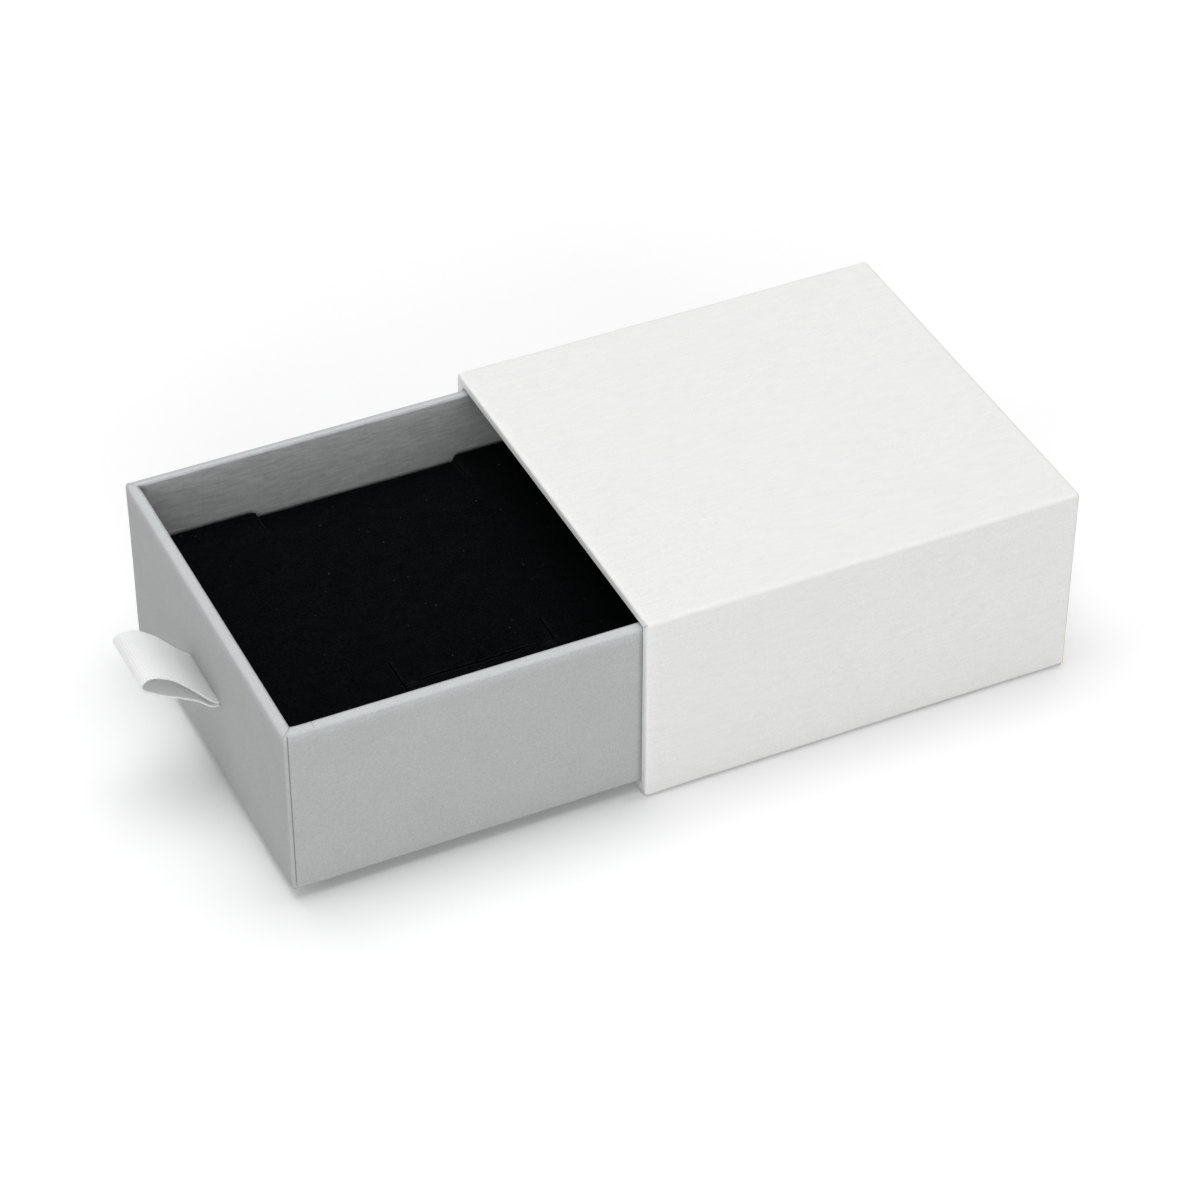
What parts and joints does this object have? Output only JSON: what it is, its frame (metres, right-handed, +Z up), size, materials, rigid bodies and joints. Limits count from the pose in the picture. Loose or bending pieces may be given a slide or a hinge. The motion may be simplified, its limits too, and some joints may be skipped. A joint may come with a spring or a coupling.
{
  "type": "sliding drawer gift box",
  "caption": "Small wrapped board gift box: a sleeve closed at its back, and a drawer with a ribbon pull and a slit velvet pad that slides out of its mouth.",
  "frame": {"origin": "centre of the sleeve's underside, on the face that the box rests on", "axes": "+X towards the sleeve's closed back, so the drawer slides out towards -X; +Z up; right and left are those of a person who faces the drawer front, so right is -Y"},
  "size_m": [0.1434, 0.07, 0.0346],
  "materials": {
    "grey_board": "matte",
    "kraft_tape": "satin",
    "white_wrap_paper": "matte",
    "white_sheet_paper": "matte",
    "sleeve_lining": "matte",
    "grey_wrap_paper": "matte",
    "drawer_lining": "matte",
    "white_ribbon": "satin",
    "patch_paper": "matte",
    "black_card": "matte",
    "black_foam": "matte",
    "black_velvet": "matte"
  },
  "bodies": {
    "sleeve": {"sleeve_top_board": "grey_board", "sleeve_bottom_board": "grey_board", "sleeve_left_board": "grey_board", "sleeve_right_board": "grey_board", "sleeve_back_board": "grey_board", "sleeve_seam_tape": "kraft_tape", "sleeve_cover_paper": "white_wrap_paper", "sleeve_base_paper": "white_sheet_paper", "sleeve_back_paper": "white_sheet_paper", "sleeve_lining_paper": "sleeve_lining"},
    "drawer": {"drawer_base_board": "grey_board", "drawer_front_board": "grey_board", "drawer_back_board": "grey_board", "drawer_left_board": "grey_board", "drawer_right_board": "grey_board", "corner_tape_front_left": "kraft_tape", "corner_tape_front_right": "kraft_tape", "corner_tape_back_left": "kraft_tape", "corner_tape_back_right": "kraft_tape", "drawer_cover_paper": "grey_wrap_paper", "drawer_floor_paper": "drawer_lining", "ribbon_pull": "white_ribbon", "ribbon_patch": "patch_paper", "pad_card": "black_card", "pad_foam": "black_foam", "pad_velvet": "black_velvet"}
  },
  "joints": [
    {"name": "drawer_slide", "type": "slide", "parent": "sleeve", "child": "drawer", "axis": [-1, 0, 0], "range_m": [-0.0572, 0.014]}
  ]
}
